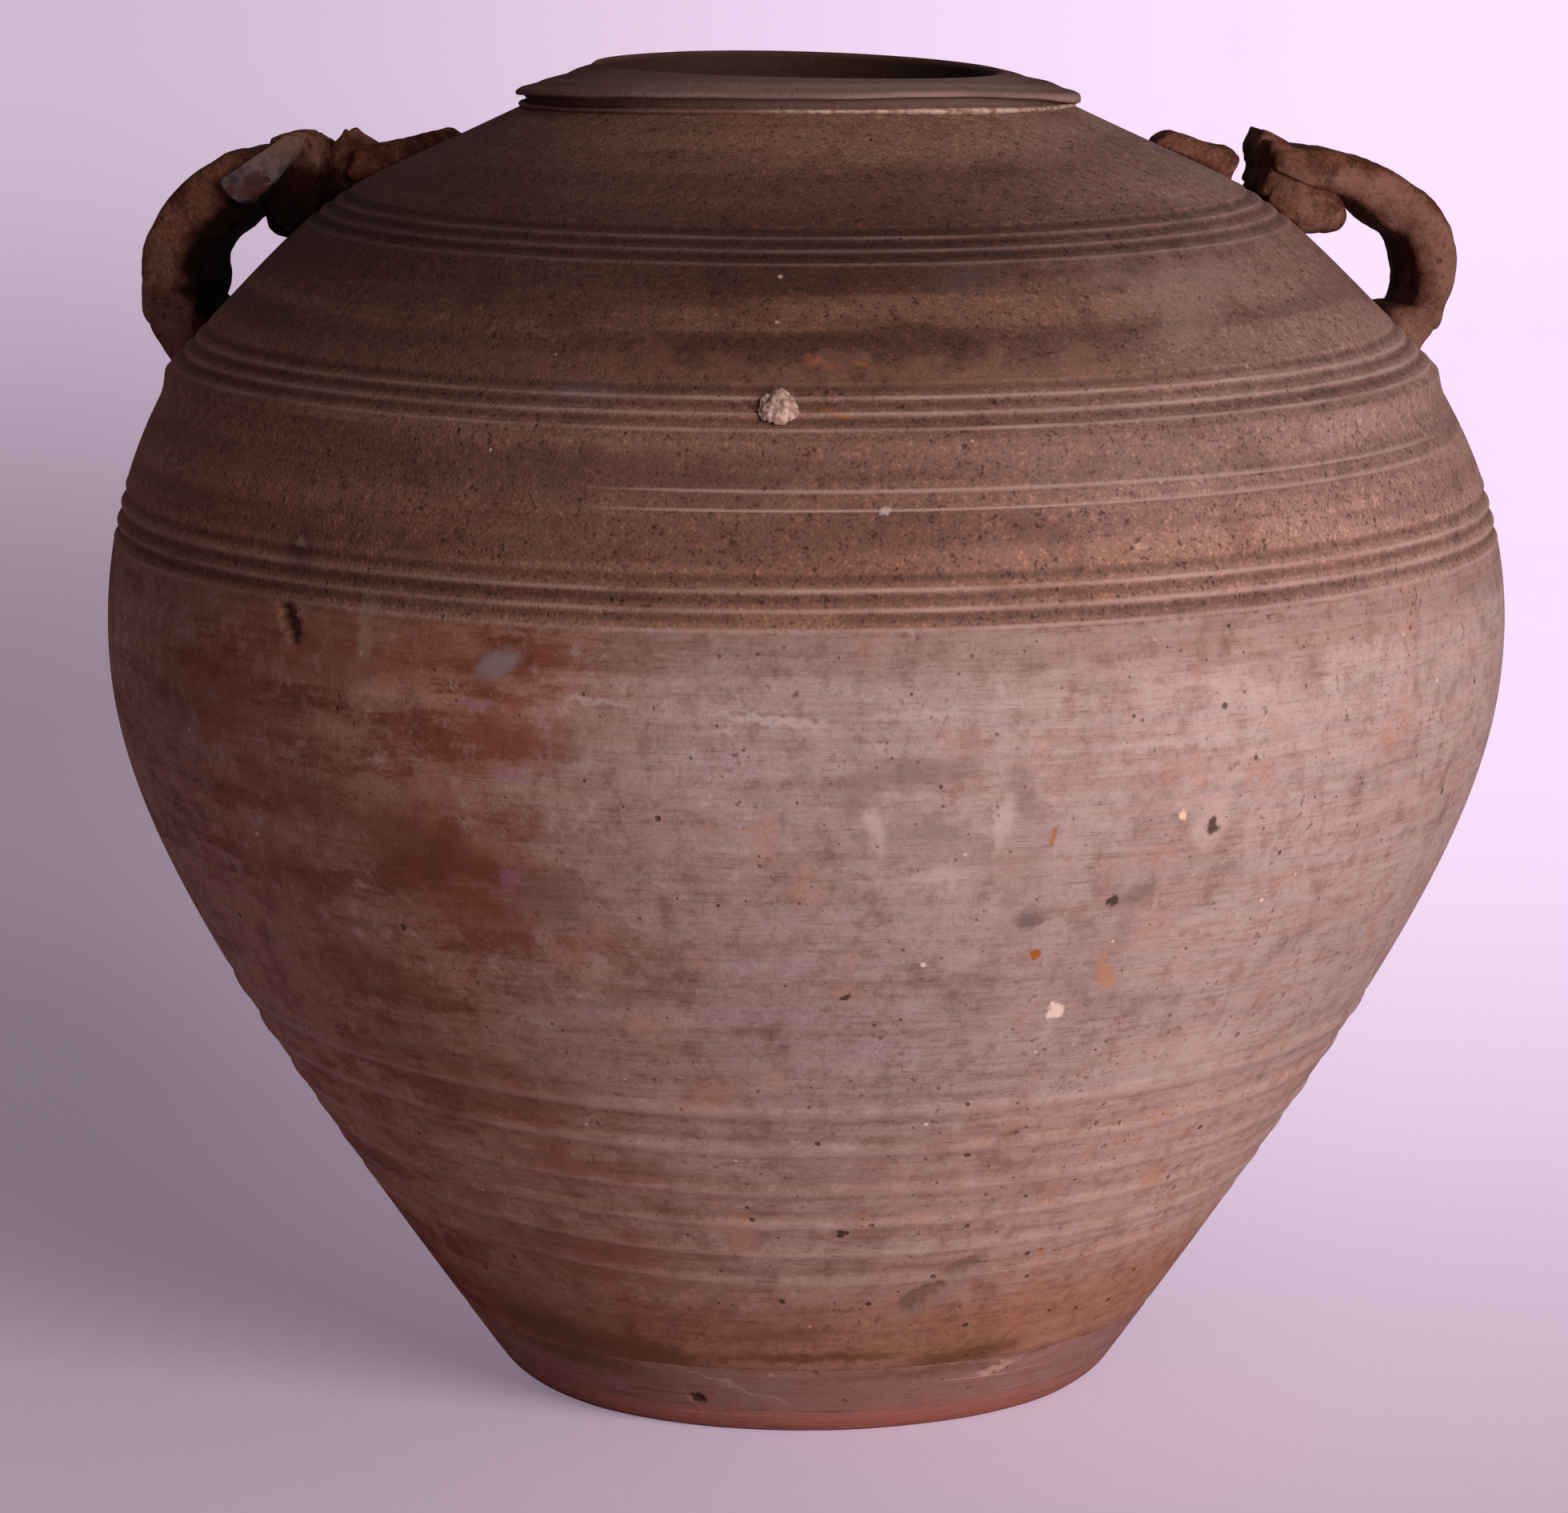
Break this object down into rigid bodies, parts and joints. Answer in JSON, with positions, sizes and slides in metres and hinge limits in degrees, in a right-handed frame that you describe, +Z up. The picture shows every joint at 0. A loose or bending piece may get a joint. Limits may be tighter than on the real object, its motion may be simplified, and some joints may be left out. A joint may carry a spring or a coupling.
{
  "type": "storage jar",
  "caption": "Wide-shouldered hand-thrown stoneware storage jar with a narrow flanged mouth, combed bands and looped strap handles on the shoulder.",
  "frame": {"origin": "centre of the foot's underside, on the jar's turning axis", "axes": "+Z up through the mouth, +X towards the right handle's side, -Y the pictured front; the jar's height is its shortest extent"},
  "size_m": [0.3999, 0.4, 0.3775],
  "materials": {
    "foot_clay": "bare reddish stoneware, worn and dusty",
    "body_clay": "smoothed pinkish-brown stoneware with wiping streaks",
    "shoulder_clay": "matte grey-brown stoneware with fine sand",
    "lip_clay": "matte stoneware, worn along the edge",
    "pale_clay": "pale dry slip and kiln clay",
    "handle_clay": "dark brown stoneware, finger-smoothed",
    "broken_clay": "rough grey fracture of a broken handle ornament"
  },
  "bodies": {
    "root": {"base_disc": "foot_clay", "lower_wall": "body_clay", "belly_wall": "body_clay", "upper_side_wall": "shoulder_clay", "shoulder_dome": "shoulder_clay", "lip_collar": "lip_clay", "neck_lute": "pale_clay", "left_handle_strap": "handle_clay", "left_lower_root": "handle_clay", "left_upper_pad": "handle_clay", "left_knob": "handle_clay", "left_leaf": "handle_clay", "left_tail": "handle_clay", "left_leaf_stub": "broken_clay", "right_handle_strap": "handle_clay", "right_lower_root": "handle_clay", "right_upper_pad": "handle_clay", "right_knob": "handle_clay", "right_leaf": "handle_clay", "right_tail": "handle_clay", "kiln_crumb": "pale_clay"}
  },
  "joints": []
}
